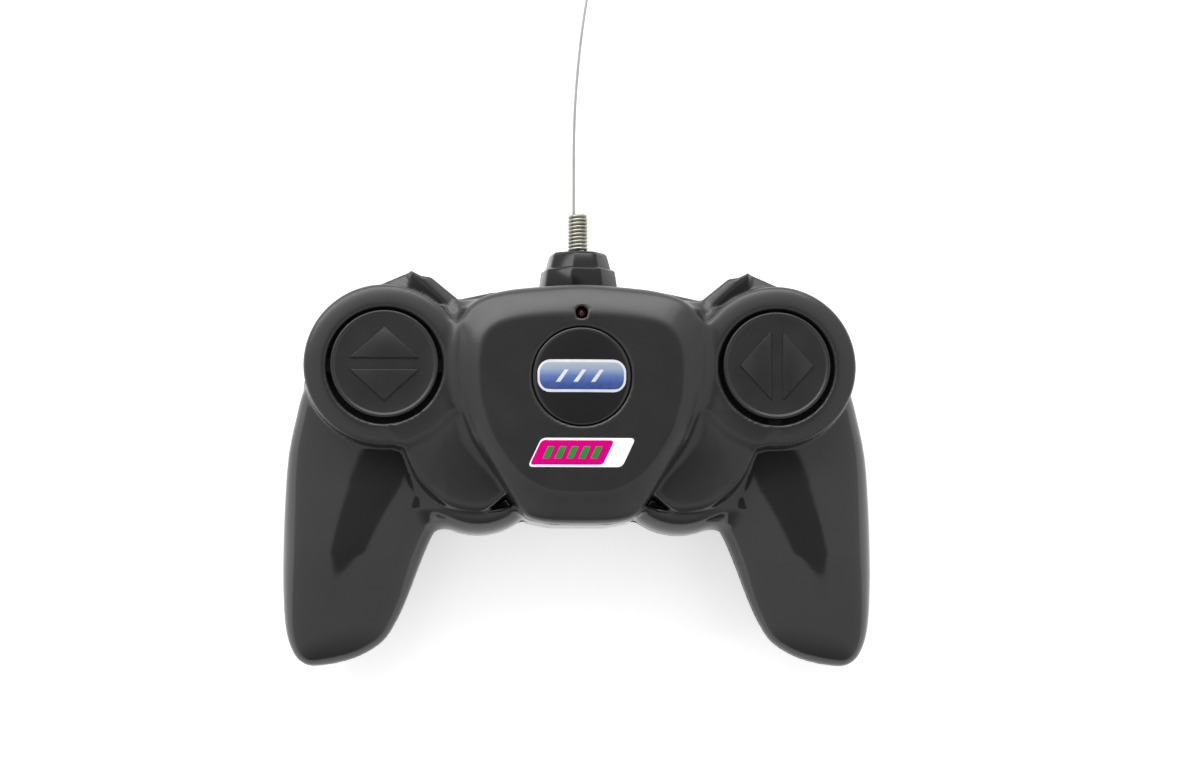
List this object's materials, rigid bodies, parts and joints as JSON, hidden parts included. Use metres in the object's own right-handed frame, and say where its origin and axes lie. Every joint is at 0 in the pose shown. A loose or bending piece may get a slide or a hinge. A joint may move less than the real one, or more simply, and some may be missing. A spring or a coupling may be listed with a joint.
{
  "type": "radio control transmitter",
  "caption": "Handheld radio control transmitter shaped like a game pad, with hand grips, round rocker pads, a battery bay and a sprung wire antenna.",
  "frame": {"origin": "middle of the flat face on the back that the transmitter rests on", "axes": "+X across it to the right as the front is looked at, +Y along the antenna away from the user, +Z out of the front face; it lies on its back"},
  "size_m": [0.15, 0.3002, 0.0399],
  "materials": {
    "shell_plastic": "satin moulded",
    "pad_plastic": "satin moulded",
    "door_plastic": "satin moulded",
    "knob_plastic": "gloss",
    "badge_plastic": "gloss",
    "label_film": "gloss printed film",
    "stripe_film": "gloss printed film",
    "led_epoxy": "tinted clear",
    "spring_steel": "nickel plated",
    "wire_steel": "drawn",
    "screw_steel": "zinc plated",
    "machined_brass": "machined",
    "retainer_plastic": "matte",
    "silicone": "matte",
    "board_laminate": "solder mask",
    "chip_epoxy": "matte",
    "can_metal": "satin",
    "capacitor_sleeve": "gloss",
    "ceramic": "dipped",
    "resistor_body": "lacquer",
    "battery_can": "printed",
    "red_wire": "insulation",
    "black_wire": "insulation",
    "blue_wire": "insulation"
  },
  "bodies": {
    "housing": {"front_shell": "shell_plastic", "rear_shell": "shell_plastic", "left_rocker_retainer": "retainer_plastic", "right_rocker_retainer": "retainer_plastic", "left_pivot_pin": "screw_steel", "right_pivot_pin": "screw_steel", "left_keypad": "silicone", "right_keypad": "silicone", "retainer_screws": "screw_steel", "badge_disc": "badge_plastic", "badge_label": "label_film", "front_label": "stripe_film", "status_led": "led_epoxy", "main_board": "board_laminate", "board_screws": "screw_steel", "encoder_chip": "chip_epoxy", "quartz_crystal": "can_metal", "tuning_coil": "can_metal", "output_coil": "can_metal", "filter_capacitor": "capacitor_sleeve", "transistors": "chip_epoxy", "resistors": "resistor_body", "ceramic_capacitors": "ceramic", "antenna_socket": "machined_brass", "antenna_lead": "blue_wire", "battery": "battery_can", "battery_terminals": "can_metal", "battery_snap": "black_wire", "battery_lead_red": "red_wire", "battery_lead_black": "black_wire", "shell_screws": "screw_steel"},
    "left_pad": {"left_rocker": "pad_plastic"},
    "right_pad": {"right_rocker": "pad_plastic"},
    "door": {"battery_door": "door_plastic"},
    "knob": {"antenna_knob": "knob_plastic", "antenna_stud": "screw_steel", "antenna_spring": "spring_steel"},
    "whip": {"antenna_ferrule": "spring_steel", "antenna_whip": "wire_steel", "antenna_tip": "knob_plastic"}
  },
  "joints": [
    {"name": "left_rocker_tilt", "type": "hinge", "parent": "housing", "child": "left_pad", "pos_m": [-0.0494, 0.0074, 0.0293], "axis": [1, 0, 0], "range_deg": [-6, 6], "stiffness_Nm_per_rad": 0.13, "deforming": ["left_keypad"]},
    {"name": "right_rocker_tilt", "type": "hinge", "parent": "housing", "child": "right_pad", "pos_m": [0.0494, 0.0074, 0.0293], "axis": [0, 1, 0], "range_deg": [-6, 6], "stiffness_Nm_per_rad": 0.13, "deforming": ["right_keypad"]},
    {"name": "battery_door_open", "type": "hinge", "parent": "housing", "child": "door", "pos_m": [0, 0.01615, 0.0008], "axis": [1, 0, 0], "range_deg": [0, 80]},
    {"name": "antenna_turn", "type": "hinge", "parent": "housing", "child": "knob", "pos_m": [0, 0.034, 0.017], "axis": [0, 1, 0], "continuous": true},
    {"name": "antenna_flex", "type": "hinge", "parent": "knob", "child": "whip", "pos_m": [0, 0.0427, 0.017], "axis": [1, 0, 0], "range_deg": [-45, 45], "stiffness_Nm_per_rad": 0.15, "deforming": ["antenna_spring"]}
  ]
}
